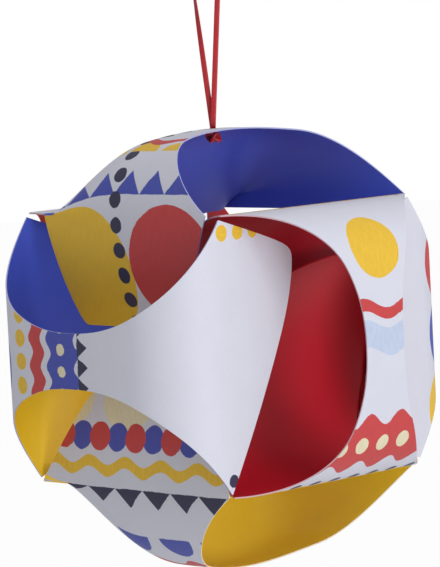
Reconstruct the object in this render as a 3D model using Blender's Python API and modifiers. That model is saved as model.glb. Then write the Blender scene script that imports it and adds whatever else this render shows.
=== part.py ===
"""Folded paper bauble hung on a ribbon loop.

Six card sheets, one to each side of a cube that stands on a face with an
upright edge to the front.  Every sheet is bent over its side as an arch,
has two deep hollow rims and dives under its neighbours at both ends.
Metres, +Z up, origin at the top of the hanging loop.

Arch of a sheet, along its arc length s from the middle:
    crown     CROWN_RADIUS, out to CROWN_SLOPE
    shoulder  SHOULDER_RADIUS, out to CORNER_SLOPE, which is the corner line
    end       a curl radius of its own, past the corner line
Half width: waist + (CORNER_WIDTH - waist) * (s / CORNER) ** RIM_POWER, with
the waist of that side (WAISTS).  The far halves of the top and bottom sheets
(FAR_SIDE) bend inwards by FAR_DROOP * v ** 2, the bottom sheet hangs out by
BULGE, and the first end of the top sheet is cut narrower (NARROW).
"""
import math
import bpy
import bmesh
from mathutils import Matrix, Vector

UNIT = 0.0002577                      # metres; the sheets are counted in this
CROWN_RADIUS = 500 * UNIT
CROWN_REACH = 78 * UNIT
SHOULDER_RADIUS = 67 * UNIT
CROWN_SLOPE = math.asin(CROWN_REACH / CROWN_RADIUS)
CORNER_SLOPE = math.radians(92)
CORNER = CROWN_RADIUS * CROWN_SLOPE + SHOULDER_RADIUS * (CORNER_SLOPE - CROWN_SLOPE)
CORNER_WIDTH = 131 * UNIT
RIM_POWER = 2.4
FAR_DROOP = 0.0100 / UNIT
FAR_SIDE = {"sheet_top": 1, "sheet_bottom": -1}
PLAIN_WAIST = (27 * UNIT, 27 * UNIT)
WAISTS = {"sheet_top": (27 * UNIT, 100 * UNIT), "sheet_bottom": (100 * UNIT, 27 * UNIT),
          "sheet_front_right": (36 * UNIT, 17 * UNIT)}
BULGE = {"sheet_bottom": 0.25}
NARROW = {"sheet_top": (118 * UNIT, 108 * UNIT)}
FLARE_START = 80 * UNIT
FLARE_MOST = 70 * UNIT
CARD = 0.00035
LOOP = 0.052
LOOP_SPREAD = 0.0045
STRAND_GAP = 0.0009
RIBBON_WIDTH = 0.0014
RIBBON_THICK = 0.0003
HOLE_RADIUS = 0.0013
HOLE_DEPTH = 0.004
KNOT_SIZE = (0.0023, 0.0019, 0.0016)
KNOT_GAP = 0.0003
KNOT_SWELL = 0.10
ROWS_END, ROWS_ARCH, COLUMNS = 14, 38, 20

CORNER_REACH = CROWN_REACH + SHOULDER_RADIUS * (math.sin(CORNER_SLOPE) - math.sin(CROWN_SLOPE))
APEX = CORNER_REACH + CROWN_RADIUS * (1 - math.cos(CROWN_SLOPE)) + SHOULDER_RADIUS * (math.cos(CROWN_SLOPE) - math.cos(CORNER_SLOPE))
CENTRE = Vector((0, 0, -LOOP - APEX))

# A sheet's end past its corner line, in UNITs: its length, how fast it grows
# from each side, the radius of its curl and how its two sides close in.
SHORT = dict(length=16, rise=(9, 9), curl=200, taper=(0.12, 0.12))
ENDS = {
    "sheet_top": (
        dict(length=116, rise=(9, 9), curl=300, taper=(0.35, 0.12)),
        SHORT),
    "sheet_bottom": (
        dict(length=125, rise=(1.6, 9), curl=300, taper=(0.06, 0.06)),
        SHORT),
    "sheet_front_left": (
        dict(length=200, rise=(9, 9), curl=105, taper=(0.25, 0.25)),
        dict(length=124, rise=(0.62, 4), curl=500, taper=(0.0, 0.06))),
    "sheet_front_right": (
        dict(length=309, rise=(40, 1.9), curl=112, taper=(0.012, 0.0), flare=0.85),
        dict(length=160, rise=(40, 9), curl=105, taper=(0.03, 0.22))),
    "sheet_back_right": (SHORT, SHORT),
    "sheet_back_left": (SHORT, SHORT),
}
# a: along the arch, b: across, c: outwards
FRAMES = {
    "sheet_top": ((1, 0, 0), (0, 1, 0), (0, 0, 1)),
    "sheet_bottom": ((1, 0, 0), (0, -1, 0), (0, 0, -1)),
    "sheet_front_left": ((0, -1, 0), (0, 0, 1), (-1, 0, 0)),
    "sheet_front_right": ((0, 0, 1), (-1, 0, 0), (0, -1, 0)),
    "sheet_back_right": ((0, 1, 0), (0, 0, 1), (1, 0, 0)),
    "sheet_back_left": ((0, 0, 1), (1, 0, 0), (0, 1, 0)),
}
COLOURS = {
    "sheet_top": (0.09, 0.11, 0.42, 1), "sheet_bottom": (0.80, 0.52, 0.03, 1),
    "sheet_front_left": (0.70, 0.72, 0.80, 1), "sheet_front_right": (0.45, 0.03, 0.04, 1),
    "sheet_back_right": (0.50, 0.25, 0.10, 1), "sheet_back_left": (0.35, 0.05, 0.08, 1),
    "ribbon_loop": (0.55, 0.02, 0.03, 1), "ribbon_knot": (0.45, 0.02, 0.03, 1),
}
TURN = Matrix.Rotation(math.radians(45), 4, "Z")


def arch(s):
    """Section point (x, z) at arc length s >= 0 up to the corner line."""
    if s <= CROWN_RADIUS * CROWN_SLOPE:
        t = s / CROWN_RADIUS
        return CROWN_RADIUS * math.sin(t), APEX - CROWN_RADIUS * (1 - math.cos(t))
    t = CROWN_SLOPE + (s - CROWN_RADIUS * CROWN_SLOPE) / SHOULDER_RADIUS
    return (CROWN_REACH + SHOULDER_RADIUS * (math.sin(t) - math.sin(CROWN_SLOPE)),
            APEX - CROWN_RADIUS * (1 - math.cos(CROWN_SLOPE)) - SHOULDER_RADIUS * (math.cos(CROWN_SLOPE) - math.cos(t)))


def tongue(d, r):
    """Section point at distance d past the corner line, curl radius r."""
    t = CORNER_SLOPE + d / r
    return (CORNER_REACH + r * (math.sin(t) - math.sin(CORNER_SLOPE)),
            CORNER_REACH - r * (math.cos(CORNER_SLOPE) - math.cos(t)))


def end_length(end, f):
    """Length past the corner line at f in -1..1 across the sheet: the soft
    least of its full length and of what has grown from either side."""
    a = (f + 1) * CORNER_WIDTH / UNIT
    b = (1 - f) * CORNER_WIDTH / UNIT
    p = -8.0                          # the higher, the sharper the least
    terms = [end["length"], end["rise"][0] * a + 0.5, end["rise"][1] * b + 0.5]
    return UNIT * sum((q + 1e-6) ** p for q in terms) ** (1 / p)


def arch_point(name, q, f):
    """Local point of the arch at q along and f across, both in -1..1."""
    k = abs(q)
    x, z = arch(abs(q) * CORNER)
    waist = WAISTS.get(name, PLAIN_WAIST)[f > 0]
    ends = first_widths(name)[f > 0] if q < 0 else CORNER_WIDTH
    v = f * (waist + (ends - waist) * k ** RIM_POWER)
    z += BULGE.get(name, 0) * (z - CORNER_REACH) * (1 - k ** 2)
    if FAR_SIDE.get(name, 0) * f > 0:
        z -= FAR_DROOP * v * v * (1 - k ** 2)
    return math.copysign(x, q), v, z


def end_point(end, widths, q, f):
    """Local point of an end, q of the way from the corner line to its tip."""
    d = q * end_length(end, f)
    x, z = tongue(d, end["curl"] * UNIT)
    low = widths[0] - end["taper"][0] * d
    low += min(FLARE_MOST, end.get("flare", 0) * max(0.0, d - FLARE_START))
    high = widths[1] - end["taper"][1] * d
    return x, f * (high if f > 0 else low), z


def first_widths(name):
    """Half widths at the corner line of a sheet's first end, on either side."""
    return NARROW.get(name, (CORNER_WIDTH, CORNER_WIDTH))


def surface(name):
    """Rows of local points from a sheet's first end to its second."""
    first, second = ENDS[name]
    full = (CORNER_WIDTH, CORNER_WIDTH)
    across = [-math.cos(math.pi * j / COLUMNS) for j in range(COLUMNS + 1)]
    steps = [i / ROWS_END for i in range(1, ROWS_END + 1)]
    grid = []
    for q in reversed(steps):
        points = [end_point(first, first_widths(name), q, f) for f in across]
        grid.append([(-x, v, z) for x, v, z in points])
    for i in range(ROWS_ARCH + 1):
        grid.append([arch_point(name, -1 + 2 * i / ROWS_ARCH, f) for f in across])
    for q in steps:
        grid.append([end_point(second, full, q, f) for f in across])
    return grid


def material(name, colour, rough=0.6):
    """A plain Principled material."""
    m = bpy.data.materials.new(name)
    m.use_nodes = True
    b = m.node_tree.nodes["Principled BSDF"]
    b.inputs["Base Color"].default_value = colour
    b.inputs["Roughness"].default_value = rough
    m.diffuse_color = colour
    return m


def add(name, bm, coll):
    """Makes a named object of a bmesh, with its own material."""
    me = bpy.data.meshes.new(name)
    bm.to_mesh(me)
    bm.free()
    ob = bpy.data.objects.new(name, me)
    coll.objects.link(ob)
    me.materials.append(material(name, COLOURS[name]))
    return ob


def apply(ob):
    """Puts the result of an object's modifiers into its mesh."""
    dg = bpy.context.evaluated_depsgraph_get()
    me = bpy.data.meshes.new_from_object(ob.evaluated_get(dg))
    old = ob.data
    ob.modifiers.clear()
    ob.data = me
    bpy.data.meshes.remove(old)


def sheet(name, coll):
    """One bent sheet of card, a closed solid CARD thick."""
    a, b, c = (Vector(v) for v in FRAMES[name])
    bm = bmesh.new()
    rows = [[bm.verts.new(TURN @ (a * p[0] + b * p[1] + c * p[2]) + CENTRE) for p in line]
            for line in surface(name)]
    for r0, r1 in zip(rows, rows[1:]):
        for j in range(len(r0) - 1):
            bm.faces.new((r0[j], r1[j], r1[j + 1], r0[j + 1]))
    ob = add(name, bm, coll)
    sol = ob.modifiers.new("card", "SOLIDIFY")
    sol.thickness = CARD
    sol.offset = 0
    sol.use_rim = True
    sol.use_even_offset = False
    apply(ob)
    return ob


def ease(x):
    """Smooth step from 0 to 1 over x in 0..1."""
    x = min(1.0, max(0.0, x))
    return x * x * (3 - 2 * x)


def ribbon_path():
    """Points and twists of the loop: up the left strand, down the right.

    At height t in 0..1 the strands stand LOOP_SPREAD * t * sqrt(1 - t ** 12) to
    either side.  One lies behind the other in the hole, and each turns its
    flat side to the front on the way down.
    """
    low = -LOOP - CARD / 2
    n = 48
    strands = []
    for side, (late, early) in ((-1, (0.90, 0.20)), (1, (0.95, 0.65))):
        strand = []
        for i in range(n + 1):
            t = 1 - (1 - i / n) ** 2
            w = LOOP_SPREAD * t * math.sqrt(max(0.0, 1 - t ** 12))
            y = -side * STRAND_GAP / 2 * (1 - t * t)
            twist = math.pi / 2 * ease((late - t) / (late - early))
            strand.append((Vector((side * w, y, low * (1 - t))), twist))
        strands.append(strand)
    left, right = strands
    return left + right[-2::-1]


def ribbon(coll):
    """The hanging loop, a flat band swept along its path."""
    path = ribbon_path()
    bm = bmesh.new()
    rings = []
    for i, (p, twist) in enumerate(path):
        d = path[min(i + 1, len(path) - 1)][0] - path[max(i - 1, 0)][0]
        o = d.cross(Vector((0, 1, 0))).normalized()
        n = o.cross(d).normalized()
        wide = n * math.cos(twist) + o * math.sin(twist)
        thin = o * math.cos(twist) - n * math.sin(twist)
        ring = [bm.verts.new(p + wide * (sx * RIBBON_WIDTH / 2) + thin * (sy * RIBBON_THICK / 2))
                for sx, sy in ((-1, -1), (1, -1), (1, 1), (-1, 1))]
        rings.append(ring)
    for r0, r1 in zip(rings, rings[1:]):
        for k in range(4):
            bm.faces.new((r0[k], r0[(k + 1) % 4], r1[(k + 1) % 4], r1[k]))
    bm.faces.new(rings[0][::-1])
    bm.faces.new(rings[-1])
    bmesh.ops.recalc_face_normals(bm, faces=bm.faces[:])
    return add("ribbon_loop", bm, coll)


def knot(coll):
    """The knot under the top sheet, a lumpy ellipsoid."""
    bm = bmesh.new()
    bmesh.ops.create_uvsphere(bm, u_segments=24, v_segments=14, radius=1)
    for v in bm.verts:
        swell = 1 + KNOT_SWELL * math.sin(3 * math.atan2(v.co.y, v.co.x) + 5 * v.co.z)
        v.co = Vector((KNOT_SIZE[0] * v.co.x * swell, KNOT_SIZE[1] * v.co.y * swell,
                       KNOT_SIZE[2] * v.co.z))
        v.co.z += -LOOP - CARD / 2 - KNOT_GAP - KNOT_SIZE[2]
    return add("ribbon_knot", bm, coll)


def cut_hole(top, coll):
    """Cuts the ribbon's round hole through the middle of the top sheet."""
    bm = bmesh.new()
    bmesh.ops.create_cone(bm, cap_ends=True, segments=24, radius1=HOLE_RADIUS,
                          radius2=HOLE_RADIUS, depth=HOLE_DEPTH)
    bmesh.ops.translate(bm, verts=bm.verts[:], vec=(0, 0, -LOOP))
    mesh = bpy.data.meshes.new("ribbon_hole")
    bm.to_mesh(mesh)
    bm.free()
    punch = bpy.data.objects.new("ribbon_hole", mesh)
    coll.objects.link(punch)
    cut = top.modifiers.new("hole", "BOOLEAN")
    cut.object, cut.operation, cut.solver = punch, "DIFFERENCE", "EXACT"
    apply(top)
    punch.hide_render = True
    punch.hide_viewport = True


def build():
    """Clears the scene and makes the six sheets, the ribbon and its knot."""
    for ob in list(bpy.data.objects):
        bpy.data.objects.remove(ob, do_unlink=True)
    coll = bpy.data.collections.new("folded_paper_bauble")
    tools = bpy.data.collections.new("cutters")
    for made in (coll, tools):
        bpy.context.scene.collection.children.link(made)
    sheets = {name: sheet(name, coll) for name in FRAMES}
    cut_hole(sheets["sheet_top"], tools)
    ribbon(coll)
    knot(coll)


build()
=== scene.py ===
"""Looks of the folded paper bauble: printed card sheets and a satin ribbon.

Every sheet is a bent strip on a grid of two parameters: s, the way along its
arch, and f, the place across it.  Metres, +Z up, in the CAD's own frame, with
the origin at the top of the hanging loop.
"""
import math

import bpy
import numpy as np
from mathutils import Matrix


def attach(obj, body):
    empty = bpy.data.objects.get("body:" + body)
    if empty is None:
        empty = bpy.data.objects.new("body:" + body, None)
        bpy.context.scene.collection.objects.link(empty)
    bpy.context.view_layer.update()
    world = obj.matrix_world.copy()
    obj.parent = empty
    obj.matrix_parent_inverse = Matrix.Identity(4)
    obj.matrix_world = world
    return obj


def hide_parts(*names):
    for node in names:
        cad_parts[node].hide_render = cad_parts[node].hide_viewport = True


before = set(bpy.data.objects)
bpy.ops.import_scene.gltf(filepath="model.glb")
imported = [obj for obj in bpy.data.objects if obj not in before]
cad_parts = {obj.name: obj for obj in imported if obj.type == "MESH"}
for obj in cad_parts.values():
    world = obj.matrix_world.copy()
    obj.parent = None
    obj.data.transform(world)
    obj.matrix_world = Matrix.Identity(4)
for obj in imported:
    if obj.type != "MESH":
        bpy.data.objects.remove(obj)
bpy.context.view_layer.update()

MM = 0.001
UNIT = 0.0002577                      # the sheets' sizes are counted in this

CROWN_RADIUS = 500 * UNIT
CROWN_REACH = 78 * UNIT
SHOULDER_RADIUS = 67 * UNIT
CROWN_SLOPE = math.asin(CROWN_REACH / CROWN_RADIUS)
CORNER_SLOPE = math.radians(92)
CROWN_LENGTH = CROWN_RADIUS * CROWN_SLOPE
CORNER = CROWN_LENGTH + SHOULDER_RADIUS * (CORNER_SLOPE - CROWN_SLOPE)   # s of the corner line
CORNER_WIDTH = 131 * UNIT             # half width there
RIM_POWER = 2.4                       # how late the rims widen towards it
FAR_DROOP = 0.0100 / UNIT
FAR_SIDE = {"sheet_top": 1, "sheet_bottom": -1}   # the sign of f on the far half
PLAIN_WAIST = (27 * UNIT, 27 * UNIT)  # half widths in the middle, on either side
WAISTS = {
    "sheet_top": (27 * UNIT, 100 * UNIT),
    "sheet_bottom": (100 * UNIT, 27 * UNIT),
    "sheet_front_right": (36 * UNIT, 17 * UNIT),
}
BULGE = {"sheet_bottom": 0.25}
NARROW = {"sheet_top": (118 * UNIT, 108 * UNIT)}   # half widths of its front end
FLARE_START = 80 * UNIT               # a flared end widens from here past its corner line
FLARE_MOST = 70 * UNIT
LEAST_POWER = 8.0                     # the higher, the sharper an end's corners
CARD = 0.35 * MM

LOOP = 52 * MM
LOOP_SPREAD = 4.5 * MM
STRAND_GAP = 0.9 * MM                 # between the two strands in the hole
RIBBON_WIDTH = 1.4 * MM
RIBBON_THICK = 0.3 * MM
# A strand's side, and the heights, 0 to 1, where its twist starts and ends.
STRANDS = ((-1, 0.90, 0.20), (1, 0.95, 0.65))
HOLE_RADIUS = 1.3 * MM
KNOT_SIZE = np.array((2.3, 1.9, 1.6)) * MM
KNOT_GAP = 0.3 * MM
KNOT_STRAND = 1.15 * MM               # the ribbon gathered in the knot
KNOT_FIT = 0.96                       # keeps the knot inside its solid

CORNER_REACH = CROWN_REACH + SHOULDER_RADIUS * (math.sin(CORNER_SLOPE) - math.sin(CROWN_SLOPE))
SHOULDER_TOP = CORNER_REACH + SHOULDER_RADIUS * (math.cos(CROWN_SLOPE) - math.cos(CORNER_SLOPE))
APEX = SHOULDER_TOP + CROWN_RADIUS * (1 - math.cos(CROWN_SLOPE))
CENTRE = np.array((0, 0, -LOOP - APEX))

# A sheet's end past its corner line, in UNITs: its length, how fast it grows
# from each side, the radius of its curl and how its two sides close in.
SHORT = dict(length=16, rise=(9, 9), curl=200, taper=(0.12, 0.12))
ENDS = {
    "sheet_top": (dict(length=116, rise=(9, 9), curl=300, taper=(0.35, 0.12)), SHORT),
    "sheet_bottom": (dict(length=125, rise=(1.6, 9), curl=300, taper=(0.06, 0.06)), SHORT),
    "sheet_front_left": (
        dict(length=200, rise=(9, 9), curl=105, taper=(0.25, 0.25)),
        dict(length=124, rise=(0.62, 4), curl=500, taper=(0.0, 0.06)),
    ),
    "sheet_front_right": (
        dict(length=309, rise=(40, 1.9), curl=112, taper=(0.012, 0.0), flare=0.85),
        dict(length=160, rise=(40, 9), curl=105, taper=(0.03, 0.22)),
    ),
    "sheet_back_right": (SHORT, SHORT),
    "sheet_back_left": (SHORT, SHORT),
}

# Directions of a sheet: along its arch, across it, and out of the ball.
TURN = math.radians(45)
SIDES = {
    "sheet_top": ((1, 0, 0), (0, 1, 0), (0, 0, 1)),
    "sheet_bottom": ((1, 0, 0), (0, -1, 0), (0, 0, -1)),
    "sheet_front_left": ((0, -1, 0), (0, 0, 1), (-1, 0, 0)),
    "sheet_front_right": ((0, 0, 1), (-1, 0, 0), (0, -1, 0)),
    "sheet_back_right": ((0, 1, 0), (0, 0, 1), (1, 0, 0)),
    "sheet_back_left": ((0, 0, 1), (1, 0, 0), (0, 1, 0)),
}

WHITE, BLUE, RED, YELLOW = "cbccd9", "4358cc", "ba0c24", "fbd028"
NAVY, BEIGE, MIST = "2a2a48", "d8cfb0", "b4c0d8"
INK_BLUE, INK_RED, INK_YELLOW = "3f4aa6", "bd3a3c", "dcb22e"
SATIN_DARK, SATIN_LIGHT = "8f0f18", "c8202a"

# The upper and the lower half of each sheet's plain side.
BACKS = {
    "sheet_top": (BLUE, BLUE),
    "sheet_bottom": (YELLOW, YELLOW),
    "sheet_front_left": (BLUE, YELLOW),
    "sheet_front_right": (RED, RED),
    "sheet_back_right": (RED, RED),
    "sheet_back_left": (RED, RED),
}

# Printed motifs in mm on the flat sheet, painted in this order.  A row runs
# "along" or "across" the arch on its line; a disc has its own middle.
PRINTS = {
    "sheet_top": (
        ("disc", INK_YELLOW, -61, 17, 19),
        ("disc", INK_RED, -58, -17, 15.5),
        ("teeth", INK_BLUE, "across", -40, 9, 6.5, 2),
        ("dots", NAVY, "along", 1.5, 6.5, 2.1, 1),
        ("halves", INK_YELLOW, "across", -27, 11, 4.6, 4),
        ("wave", INK_RED, "across", -21, 1.6, 1.5, 15),
        ("disc", MIST, 24, 8, 12),
        ("teeth", INK_RED, "across", 38, 9, 6, 0),
    ),
    "sheet_bottom": (
        ("halves", BEIGE, "across", -69, 22, 9.5, 7),
        ("dots", INK_BLUE, "across", -58, 13, 3.7, 0),
        ("dots", INK_RED, "across", -58, 13, 3.7, 6.5),
        ("wave", INK_YELLOW, "across", -50.5, 1.5, 1.2, 13),
        ("teeth", NAVY, "across", -45, 10, 4.5, 3),
        ("halves", INK_BLUE, "across", -33, 15, 5.5, 2),
        ("wave", INK_RED, "across", -22, 1.8, 1.5, 12),
        ("disc", INK_YELLOW, 26, -6, 12),
    ),
    "sheet_front_left": (
        ("wave", INK_BLUE, "across", -3, 5.2, 0.9, 7),
        ("dots", BEIGE, "across", -3.5, 5.6, 1.5, 0),
        ("wave", INK_RED, "across", -13, 2.4, 0.8, 7),
        ("dots", INK_YELLOW, "across", -20, 6, 2.2, 2),
        ("teeth", NAVY, "across", 2.6, 5, 3.4, 1),
        ("disc", INK_BLUE, -37, -3, 10.5),
        ("wave", MIST, "across", -54, 3.5, 1.5, 16),
        ("dots", INK_YELLOW, "along", 30.5, 6, 2.0, 1),
        ("dots", NAVY, "along", -30.5, 6, 1.6, 1),
    ),
    "sheet_front_right": (
        ("disc", INK_YELLOW, 25, -3, 8.5),
        ("wave", MIST, "across", 2, 3.4, 1.4, 18),
        ("wave", INK_RED, "across", -25, 6.5, 1.6, 11),
        ("dots", BEIGE, "across", -25, 7.5, 2.2, 1),
        ("halves", INK_YELLOW, "across", -42, 9, 3.6, 3),
        ("dots", INK_BLUE, "along", -29, 7, 2.0, 0),
        ("wave", INK_RED, "across", 9, 1.5, 1.4, 18),
        ("teeth", INK_YELLOW, "across", 44, 8, 5, 0),
        ("dots", NAVY, "across", -38, 7, 1.7, 2),
    ),
    "sheet_back_right": (
        ("disc", INK_RED, -29, 16, 9.5),
        ("disc", INK_BLUE, -29, -3, 8.5),
        ("disc", INK_YELLOW, -31, -22, 9),
        ("teeth", INK_BLUE, "across", 30, 9, 6.5, 0),
        ("halves", INK_YELLOW, "across", 8, 11, 4.6, 2),
        ("dots", NAVY, "across", -12, 7, 2.0, 0),
    ),
    "sheet_back_left": (
        ("disc", INK_YELLOW, 28, -9, 12),
        ("halves", INK_BLUE, "across", -24, 13, 5.5, 1),
        ("wave", INK_RED, "across", 10, 2, 1.6, 14),
        ("dots", INK_RED, "across", -36, 7, 2.1, 3),
        ("teeth", NAVY, "across", -4, 8, 5, 0),
    ),
}
PRINT_SPAN = 250                      # mm of flat sheet that the UV square holds
WEAVE = 0.9                           # mm between the threads pressed into the card
RIBS = 0.28                           # mm between the ribs of the satin
BUMP = 0.35                           # strength of every bump
MIX_LOW, MIX_HIGH, MIX_RESULT = 6, 7, 2   # a Mix node's colour sockets
INK_EDGE = 0.14                       # mm over which an ink fades out
EDGE_SHADE_PAST = 15                           # mm past the corner line from where an end lies inside; there its cut edge is painted the dyed side's colour, as painted shade

ROWS_ARCH, ROWS_END, COLUMNS = 120, 44, 64
HOLE_CORNERS = 32
SHARP = math.radians(50)              # a steeper turn than this is an edge

PHOTO_HEIGHT = 567                    # px, one UNIT each at the ball
SENSOR = 36
VIEW_DISTANCE, VIEW_RISE, VIEW_ROLL = 0.9, math.radians(5), math.radians(3)
VIEW_AIM = CENTRE + UNIT * np.array((-1, 0, 54.5))
ROOM_LIGHT, ROOM_SEEN = 0.50, 1.0     # the room as light, and as the camera sees it
FLOOR_SIZE, FLOOR_HEIGHT, FLOOR_GREY, FLOOR_GLOW = 4.0, -0.34, 0.86, 0.96
LAMPS = {                             # place from the ball's middle, size and watts
    "key": ((0.85, -0.75, 0.65), 0.7, 4.5),
    "low": ((0.75, -0.90, -0.20), 0.6, 8),
    "top": ((-0.15, -0.30, 1.10), 0.8, 2.5),
}


def linear(code):
    """A colour written as six hex digits, in linear light, with alpha."""
    srgb = [int(code[i:i + 2], 16) / 255 for i in (0, 2, 4)]
    return [c / 12.92 if c <= 0.04045 else ((c + 0.055) / 1.055) ** 2.4 for c in srgb] + [1.0]


def toward(code, other, share):
    """A colour mixed with another in linear light."""
    return [a + (b - a) * share for a, b in zip(linear(code), linear(other))]


class Socket:
    """A node's output, whose arithmetic adds Math nodes to its tree."""

    def __init__(self, tree, out=None):
        self.tree, self.out = tree, out

    def node(self, kind, settings=None, inputs=None, output=0):
        """Adds a node: its settings first, then its sockets' values or links."""
        made = self.tree.nodes.new(kind)
        for key, value in (settings or {}).items():
            setattr(made, key, value)
        for key, value in (inputs or {}).items():
            if isinstance(value, Socket):
                self.tree.links.new(value.out, made.inputs[key])
            else:
                made.inputs[key].default_value = value
        return Socket(self.tree, made.outputs[output])

    def math(self, operation, *values):
        return self.node("ShaderNodeMath", {"operation": operation}, dict(enumerate(values)))

    def __add__(self, other):
        return self.math("ADD", self, other)

    def __sub__(self, other):
        return self.math("SUBTRACT", self, other)

    def __rsub__(self, other):
        return self.math("SUBTRACT", other, self)

    def __mul__(self, other):
        return self.math("MULTIPLY", self, other)

    def __truediv__(self, other):
        return self.math("DIVIDE", self, other)

    def __mod__(self, other):
        return self.math("FLOORED_MODULO", self, other)

    def __abs__(self):
        return self.math("ABSOLUTE", self)

    __radd__, __rmul__ = __add__, __mul__

    def sin(self):
        return self.math("SINE", self)

    def edge(self):
        """1 where the value, in mm, is inside, with a soft ink edge at 0."""
        return self.node("ShaderNodeMath", {"operation": "MULTIPLY_ADD", "use_clamp": True},
                         {0: self, 1: 1 / INK_EDGE, 2: 0.5})

    def mix(self, low, high):
        """The colour low, with high blended in by this share."""
        return self.node("ShaderNodeMix", {"data_type": "RGBA"},
                         {0: self, MIX_LOW: low, MIX_HIGH: high}, MIX_RESULT)

    def shade(self, colour):
        """The colour multiplied by this value."""
        return self.node("ShaderNodeMix", {"data_type": "RGBA", "blend_type": "MULTIPLY"},
                         {0: 1.0, MIX_LOW: colour, MIX_HIGH: self}, MIX_RESULT)


def reach(x, y):
    """Distance of a point from 0, in mm."""
    return x.math("SQRT", x * x + y * y)


def motif_mask(spec, s, v):
    """Where one printed motif lies, from the flat sheet's mm s and v.

    wave: |q - line - swing sin(2 pi p / length)| inside its half width
    disc, dots: inside a radius of its middle, or of the next one in the row
    halves: dots on one side of their line
    teeth: triangles of one height standing on their line
    """
    kind = spec[0]
    if kind == "disc":
        _, _, s0, v0, radius = spec
        return (radius - reach(s - s0, v - v0)).edge()
    p, q = (s, v) if spec[2] == "along" else (v, s)
    if kind == "wave":
        line, half, swing, length = spec[3:]
        drift = (p * (2 * math.pi / length)).sin() * swing
        return (half - abs(q - line - drift)).edge()
    line, pitch, size, phase = spec[3:]
    step = (p - phase) % pitch - pitch / 2
    rise = q - line
    if kind == "teeth":
        inside = (pitch / 2) * (1 - rise / size) - abs(step)
        return inside.edge() * rise.edge()
    round_mask = (size - reach(step, rise)).edge()
    return round_mask * rise.edge() if kind == "halves" else round_mask


def new_material(name):
    """An empty material, its Principled shader and a socket to start from."""
    made = bpy.data.materials.new(name)
    made.use_nodes = True
    return made, made.node_tree.nodes["Principled BSDF"], Socket(made.node_tree)


def grain(start, size, detail=3.0, roughness=0.6):
    """Noise of one size in metres on the piece's own coordinates, 0 to 1."""
    place = start.node("ShaderNodeTexCoord", output="Object")
    return start.node("ShaderNodeTexNoise", inputs={
        "Vector": place, "Scale": 1 / size, "Detail": detail, "Roughness": roughness})


def link(start, shader, colour, rough, height, depth):
    """Feeds a shader's colour, roughness and bump."""
    bump = start.node("ShaderNodeBump", inputs={
        "Strength": BUMP, "Distance": depth, "Height": height})
    for key, value in (("Base Color", colour), ("Roughness", rough), ("Normal", bump)):
        start.tree.links.new(value.out, shader.inputs[key])


def flat_place(start):
    """The flat sheet's s and v in mm, from its UV map."""
    uv = start.node("ShaderNodeUVMap", {"uv_map": "card"})
    split = start.node("ShaderNodeSeparateXYZ", inputs={0: uv})
    other = Socket(start.tree, split.out.node.outputs[1])
    return (split - 0.5) * PRINT_SPAN, (other - 0.5) * PRINT_SPAN


def printed_card(name):
    """White card with the sheet's motifs in ink, laid down with a dry brush."""
    made, shader, start = new_material(name + "_print")
    s, v = flat_place(start)
    fibre = grain(start, 0.35 * MM)
    cloud = grain(start, 6 * MM)
    weave = (s * (2 * math.pi / WEAVE)).sin() * (v * (2 * math.pi / WEAVE)).sin()
    ragged = (cloud - 0.5) * 0.9 + (fibre - 0.5) * 0.35    # mm that an ink's edge strays
    colour = linear(WHITE)
    inked = None
    for spec in PRINTS[name]:
        mask = motif_mask(spec, s + ragged, v + ragged)
        colour = mask.mix(colour, linear(spec[1]))
        inked = mask if inked is None else inked.math("MAXIMUM", inked, mask)
    stroke = start.node("ShaderNodeCombineXYZ", inputs={0: s * 0.35, 1: v * 2.4})
    brush = start.node("ShaderNodeTexNoise", inputs={"Vector": stroke, "Scale": 1.0, "Detail": 3.0})
    tone = (1 + (fibre - 0.5) * 0.12 + (cloud - 0.5) * 0.06 + weave * 0.035
            + inked * ((brush - 0.5) * 0.38 + weave * 0.04))
    link(start, shader, tone.shade(colour), 0.58 - inked * 0.08 + (fibre - 0.5) * 0.12,
         fibre + weave * 0.25, 0.03 * MM)
    return made


def plain_card(name):
    """The dyed side of a sheet: even colour with fine fibre and a soft sheen."""
    made, shader, start = new_material(name + "_back")
    upper, lower = BACKS[name]
    _, v = flat_place(start)
    fibre = grain(start, 0.3 * MM)
    cloud = grain(start, 9 * MM)
    colour = v.edge().mix(linear(lower), linear(upper))
    tone = 1 + (fibre - 0.5) * 0.12 + (cloud - 0.5) * 0.10
    link(start, shader, tone.shade(colour), 0.46 + (fibre - 0.5) * 0.14, fibre, 0.02 * MM)
    return made


def cut_edge(name):
    """The sheet's cut edge: pale core with a little of the dyed side's colour.
    Where the end lies deep inside the ball, the edge is painted all in the dyed colour: painted
    shade that hides its pale core there."""
    made, shader, start = new_material(name + "_edge")
    fibre = grain(start, 0.15 * MM)
    s, _ = flat_place(start)
    back = BACKS[name][0]
    colour = fibre.mix(toward(back, WHITE, 0.45), toward(back, WHITE, 0.72))
    # painted shade: deep inside the ball the pale edge takes the dyed side's full colour
    colour = (abs(s) - CORNER / MM - EDGE_SHADE_PAST).edge().mix(colour, linear(back))
    link(start, shader, colour, 0.75 + (fibre - 0.5) * 0.2, fibre, 0.03 * MM)
    return made


def satin(name):
    """Red satin: fine ribs across the ribbon and a sheen along it."""
    made, shader, start = new_material(name + "_satin")
    uv = start.node("ShaderNodeUVMap", {"uv_map": "card"})
    along = start.node("ShaderNodeSeparateXYZ", inputs={0: uv}) * PRINT_SPAN
    ribs = (along * (2 * math.pi / RIBS)).sin() * 0.5 + 0.5
    cloud = grain(start, 2.5 * MM)
    share = ribs * 0.5 + cloud * 0.5
    colour = share.mix(linear(SATIN_DARK), linear(SATIN_LIGHT))
    link(start, shader, colour, 0.32 + cloud * 0.12, ribs, 0.02 * MM)
    shader.inputs["Sheen Weight"].default_value = 0.25
    shader.inputs["Sheen Roughness"].default_value = 0.35
    return made


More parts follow.
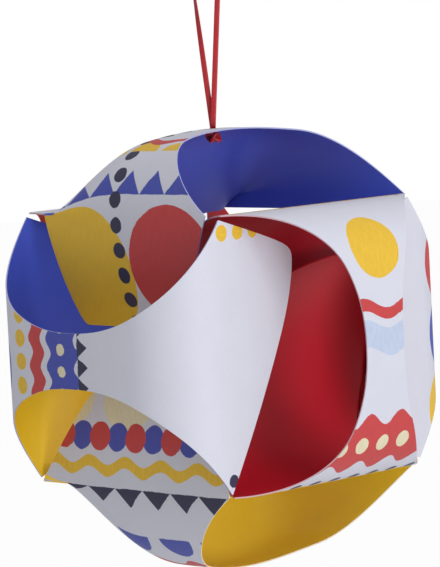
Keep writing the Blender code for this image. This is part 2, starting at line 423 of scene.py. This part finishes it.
def arch(s):
    """Section of a sheet at s from its middle, as reach and height.

    A crown arc of CROWN_RADIUS out to CROWN_SLOPE, then a shoulder arc of
    SHOULDER_RADIUS down to the corner line.
    """
    crown = s / CROWN_RADIUS
    shoulder = CROWN_SLOPE + (s - CROWN_LENGTH) / SHOULDER_RADIUS
    on_crown = s <= CROWN_LENGTH
    x = np.where(on_crown, CROWN_RADIUS * np.sin(crown),
                 CROWN_REACH + SHOULDER_RADIUS * (np.sin(shoulder) - math.sin(CROWN_SLOPE)))
    z = np.where(on_crown, APEX - CROWN_RADIUS * (1 - np.cos(crown)),
                 SHOULDER_TOP - SHOULDER_RADIUS * (math.cos(CROWN_SLOPE) - np.cos(shoulder)))
    return x, z


def front_widths(name):
    """Half widths at the corner line of a sheet's first end, on either side."""
    return NARROW.get(name, (CORNER_WIDTH, CORNER_WIDTH))


def end_length(end, f):
    """Length past the corner line at f across: the soft least of the full
    length and of what has grown from either side."""
    half = CORNER_WIDTH / UNIT
    terms = (end["length"] + 0 * f, end["rise"][0] * (1 + f) * half + 0.5,
             end["rise"][1] * (1 - f) * half + 0.5)
    return UNIT * sum((t + 1e-6) ** -LEAST_POWER for t in terms) ** (-1 / LEAST_POWER)


def end_rows(end, f, widths):
    """Rows past the corner line, curled on one radius, sides closing in."""
    d = np.arange(1, ROWS_END + 1)[:, None] / ROWS_END * end_length(end, f)
    radius = end["curl"] * UNIT
    slope = CORNER_SLOPE + d / radius
    x = CORNER_REACH + radius * (np.sin(slope) - math.sin(CORNER_SLOPE))
    z = CORNER_REACH - radius * (math.cos(CORNER_SLOPE) - np.cos(slope))
    flare = np.minimum(FLARE_MOST, end.get("flare", 0) * np.maximum(0, d - FLARE_START))
    low = widths[0] - end["taper"][0] * d + flare
    high = widths[1] - end["taper"][1] * d
    return x, f * np.where(f > 0, high, low), z, CORNER + d


def arch_rows(name, f):
    """Rows of the arch, half width waist + (end - waist) k ** RIM_POWER
    with k = s / CORNER.  The far halves of the top and bottom sheets are wider
    and bend inwards by FAR_DROOP v v (1 - k k), and the bottom one hangs out."""
    s = np.linspace(-CORNER, CORNER, ROWS_ARCH + 1)[:, None] + 0 * f
    k = np.abs(s) / CORNER
    far = FAR_SIDE.get(name, 0) * f > 0
    waist = np.where(f > 0, *WAISTS.get(name, PLAIN_WAIST)[::-1])
    ends = np.where(s < 0, np.where(f > 0, *front_widths(name)[::-1]), CORNER_WIDTH)
    v = f * (waist + (ends - waist) * k ** RIM_POWER)
    x, z = arch(np.abs(s))
    z = z + BULGE.get(name, 0) * (z - CORNER_REACH) * (1 - k * k)
    z = z - np.where(far, FAR_DROOP * v * v * (1 - k * k), 0)
    return np.copysign(x, s), v, z, s


def sheet_grid(name):
    """Points and flat places of a whole sheet, from one end to the other."""
    f = -np.cos(np.pi * np.linspace(0, 1, COLUMNS + 1))[None, :]
    full = (CORNER_WIDTH, CORNER_WIDTH)
    first, second = ENDS[name]
    low, high = end_rows(first, f, front_widths(name)), end_rows(second, f, full)
    flip = (-1, 1, 1, -1)
    blocks = [[sign * part[::-1] for sign, part in zip(flip, low)], arch_rows(name, f), high]
    x, v, z, s = (np.concatenate(parts) for parts in zip(*blocks))
    cos, sin = math.cos(TURN), math.sin(TURN)
    turn = np.array(((cos, -sin, 0), (sin, cos, 0), (0, 0, 1)))
    basis = turn @ np.array(SIDES[name], float).T
    points = np.stack((x, v, z), -1) @ basis.T + CENTRE
    return points, np.stack((s, v), -1) / MM / PRINT_SPAN + 0.5


def make_piece(name, points, flat, node, body, around=False):
    """A mesh piece from a grid of points, with its flat places as UV map.

    around joins each row to itself and closes both ends.
    """
    rows, columns = points.shape[:2]
    index = np.arange(rows * columns).reshape(rows, columns)
    if around:
        index = np.concatenate((index, index[:, :1]), 1)
    quads = np.stack((index[:-1, :-1], index[1:, :-1], index[1:, 1:], index[:-1, 1:]), -1)
    faces = quads.reshape(-1, 4).tolist()
    if around:
        faces += [index[0, :-1].tolist(), index[-1, :-1][::-1].tolist()]
    mesh = bpy.data.meshes.new(name)
    mesh.from_pydata(points.reshape(-1, 3).tolist(), [], faces)
    layer = mesh.uv_layers.new(name="card")
    corner = np.empty(len(mesh.loops), int)
    mesh.loops.foreach_get("vertex_index", corner)
    layer.data.foreach_set("uv", flat.reshape(-1, 2)[corner].ravel())
    mesh.polygons.foreach_set("use_smooth", np.ones(len(mesh.polygons), bool))
    piece = bpy.data.objects.new(name, mesh)
    bpy.context.scene.collection.objects.link(piece)
    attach(piece, body)
    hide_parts(node)
    return piece


def bake_shape(piece):
    """Puts the result of a piece's modifiers into its mesh."""
    shaped = piece.evaluated_get(bpy.context.evaluated_depsgraph_get())
    old = piece.data
    mesh = bpy.data.meshes.new_from_object(shaped)
    piece.modifiers.clear()
    piece.data = mesh
    bpy.data.meshes.remove(old)
    mesh.set_sharp_from_angle(angle=SHARP)


def cut_hole(piece):
    """Cuts the ribbon's round hole through the middle of the top sheet."""
    turns = np.linspace(0, 2 * np.pi, HOLE_CORNERS, endpoint=False)
    ring = np.stack((np.cos(turns), np.sin(turns), 0 * turns), -1) * HOLE_RADIUS
    points = np.stack([ring + (0, 0, -LOOP + lift * 2 * MM) for lift in (-1, 1)])
    index = np.arange(2 * HOLE_CORNERS).reshape(2, HOLE_CORNERS)
    after = np.roll(index, -1, 1)
    faces = np.stack((index[0], after[0], after[1], index[1]), -1).tolist()
    faces += [index[0][::-1].tolist(), index[1].tolist()]
    mesh = bpy.data.meshes.new("hole")
    mesh.from_pydata(points.reshape(-1, 3).tolist(), [], faces)
    punch = bpy.data.objects.new("hole", mesh)
    bpy.context.scene.collection.objects.link(punch)
    cut = piece.modifiers.new("hole", "BOOLEAN")
    cut.object, cut.operation, cut.solver = punch, "DIFFERENCE", "EXACT"
    bake_shape(piece)
    bpy.data.objects.remove(punch)


def make_sheet(name):
    """One bent sheet of card: printed outside, dyed inside, pale cut edges."""
    points, flat = sheet_grid(name)
    piece = make_piece(name + "_card", points, flat, name, "ball")
    for finish in (printed_card, plain_card, cut_edge):
        piece.data.materials.append(finish(name))
    card = piece.modifiers.new("card", "SOLIDIFY")
    card.thickness, card.offset = CARD, 0
    card.use_even_offset = False
    card.material_offset, card.material_offset_rim = 1, 2
    bake_shape(piece)
    return piece


def ease(x):
    """Smooth step from 0 to 1."""
    x = np.clip(x, 0, 1)
    return x * x * (3 - 2 * x)


def ribbon_route(points=48):
    """The loop's line and twist, up the left strand and down the right.

    At height t, 0 to 1, a strand stands LOOP_SPREAD t sqrt(1 - t ** 12) to its
    side.  One lies behind the other in the hole, and each turns its flat side
    to the front on the way down.
    """
    t = 1 - (1 - np.linspace(0, 1, points + 1)) ** 2
    strands = []
    for side, late, early in STRANDS:
        x = side * LOOP_SPREAD * t * np.sqrt(np.maximum(0, 1 - t ** 12))
        y = -side * STRAND_GAP / 2 * (1 - t * t)
        z = (-LOOP - CARD / 2) * (1 - t)
        twist = np.pi / 2 * ease((late - t) / (late - early))
        strands.append(np.stack((x, y, z, twist), -1))
    route = np.concatenate((strands[0], strands[1][-2::-1]))
    return route[:, :3], route[:, 3]


def unit(vectors):
    """Vectors scaled to length 1."""
    return vectors / np.linalg.norm(vectors, axis=-1, keepdims=True)


def sweep(line, wide, thin, width, thick, corners, square):
    """A tube on a line: a rounded box section of the given width and thickness."""
    turns = np.linspace(0, 2 * np.pi, corners, endpoint=False)[None, :, None]
    across = np.sign(np.cos(turns)) * np.abs(np.cos(turns)) ** square * width / 2
    over = np.sign(np.sin(turns)) * np.abs(np.sin(turns)) ** square * thick / 2
    points = line[:, None] + wide[:, None] * across + thin[:, None] * over
    arc = np.concatenate(([0], np.cumsum(np.linalg.norm(np.diff(line, axis=0), axis=1))))
    flat = np.stack(np.broadcast_arrays(arc[:, None], turns[..., 0] * width), -1)
    return points, flat / MM / PRINT_SPAN, arc[-1]


def make_ribbon():
    """The hanging loop, a flat ribbon that goes up, over and back down."""
    line, twist = ribbon_route()
    way = np.gradient(line, axis=0)
    side = unit(np.cross(way, (0, 1, 0)))
    face = unit(np.cross(side, way))
    turn = twist[:, None]
    wide = face * np.cos(turn) + side * np.sin(turn)
    thin = side * np.cos(turn) - face * np.sin(turn)
    points, flat, length = sweep(line, wide, thin, RIBBON_WIDTH, RIBBON_THICK, 12, 0.5)
    piece = make_piece("ribbon", points, flat, "ribbon_loop", "hanger", around=True)
    piece.data.materials.append(satin("ribbon"))


def make_knot():
    """The knot under the top sheet: the ribbon drawn tight in an overhand knot.

    The line is (sin t + 2 sin 2t, cos t - 2 cos 2t, -sin 3t), scaled to the
    knot's size less the ribbon's own thickness.
    """
    t = np.linspace(0, 2 * np.pi, 160)
    line = np.stack((np.sin(t) + 2 * np.sin(2 * t), np.cos(t) - 2 * np.cos(2 * t),
                     -np.sin(3 * t)), -1)
    line = line / np.array((3, 3, 1)) * (KNOT_SIZE - KNOT_STRAND / 2) * KNOT_FIT
    line = line + (0, 0, -LOOP - CARD / 2 - KNOT_GAP - KNOT_SIZE[2])
    way = np.gradient(line, axis=0)
    wide = unit(np.cross(way, (0.2, 0.1, 1)))
    thin = unit(np.cross(way, wide))
    points, flat, _ = sweep(line, wide, thin, KNOT_STRAND, KNOT_STRAND * 0.8, 16, 0.8)
    piece = make_piece("knot", points, flat, "ribbon_knot", "knot", around=True)
    piece.data.materials.append(satin("knot"))


def make_camera():
    """The photograph's view: level with the ball, a little above, rolled 3 degrees."""
    back = np.array((0, -math.cos(VIEW_RISE), math.sin(VIEW_RISE)))
    level = np.array((1, 0, 0))
    upright = np.cross(back, level)
    up = upright * math.cos(VIEW_ROLL) + level * math.sin(VIEW_ROLL)
    right = np.cross(up, back)
    lens = bpy.data.cameras.new("camera")
    lens.sensor_fit, lens.sensor_height = "VERTICAL", SENSOR
    lens.lens = SENSOR * VIEW_DISTANCE / (PHOTO_HEIGHT * UNIT)
    camera = bpy.data.objects.new("camera", lens)
    place = np.eye(4)
    place[:3, 0], place[:3, 1], place[:3, 2] = right, up, back
    place[:3, 3] = VIEW_AIM + VIEW_DISTANCE * back
    camera.matrix_world = Matrix(place.tolist())
    bpy.context.scene.collection.objects.link(camera)
    bpy.context.scene.camera = camera


def make_lamp(name, place, size, watts):
    """A square lamp that faces the ball."""
    lamp = bpy.data.lights.new(name, "AREA")
    lamp.size, lamp.energy = size, watts
    holder = bpy.data.objects.new(name, lamp)
    away = unit(np.array(place, float))
    side = unit(np.cross((0, 0, 1), away))
    turn = np.eye(4)
    turn[:3, 0], turn[:3, 1], turn[:3, 2] = side, np.cross(away, side), away
    turn[:3, 3] = CENTRE + place
    holder.matrix_world = Matrix(turn.tolist())
    bpy.context.scene.collection.objects.link(holder)


def make_studio():
    """White room: pale floor under the hanging ball, soft light from the right."""
    world = bpy.data.worlds.new("room")
    world.use_nodes = True
    bpy.context.scene.world = world
    start = Socket(world.node_tree)
    seen = start.node("ShaderNodeLightPath", output="Is Camera Ray")
    strength = ROOM_LIGHT + seen * (ROOM_SEEN - ROOM_LIGHT)
    back = world.node_tree.nodes["Background"]
    back.inputs["Color"].default_value = (1, 1, 1, 1)
    world.node_tree.links.new(strength.out, back.inputs["Strength"])

    mesh = bpy.data.meshes.new("floor")
    corners = [(x * FLOOR_SIZE, y * FLOOR_SIZE, FLOOR_HEIGHT)
               for x, y in ((-1, -1), (1, -1), (1, 1), (-1, 1))]
    mesh.from_pydata(corners, [], [(0, 1, 2, 3)])
    floor = bpy.data.objects.new("floor", mesh)
    bpy.context.scene.collection.objects.link(floor)
    made, shader, start = new_material("floor")
    shader.inputs["Base Color"].default_value = (FLOOR_GREY, FLOOR_GREY, FLOOR_GREY, 1)
    shader.inputs["Roughness"].default_value = 0.9
    glow = start.node("ShaderNodeEmission", inputs={"Color": (1, 1, 1, 1), "Strength": 1.0})
    seen = start.node("ShaderNodeLightPath", output="Is Camera Ray")
    surface = start.node("ShaderNodeMixShader", inputs={
        0: seen * FLOOR_GLOW, 1: Socket(start.tree, shader.outputs[0]), 2: glow})
    start.tree.links.new(surface.out, start.tree.nodes["Material Output"].inputs["Surface"])
    mesh.materials.append(made)

    for name, (place, width, watts) in LAMPS.items():
        make_lamp(name, place, width, watts)
    bpy.context.scene.view_settings.view_transform = "Standard"


make_camera()
make_ribbon()
make_knot()
for sheet in SIDES:
    card_piece = make_sheet(sheet)
    if sheet == "sheet_top":
        cut_hole(card_piece)
make_studio()
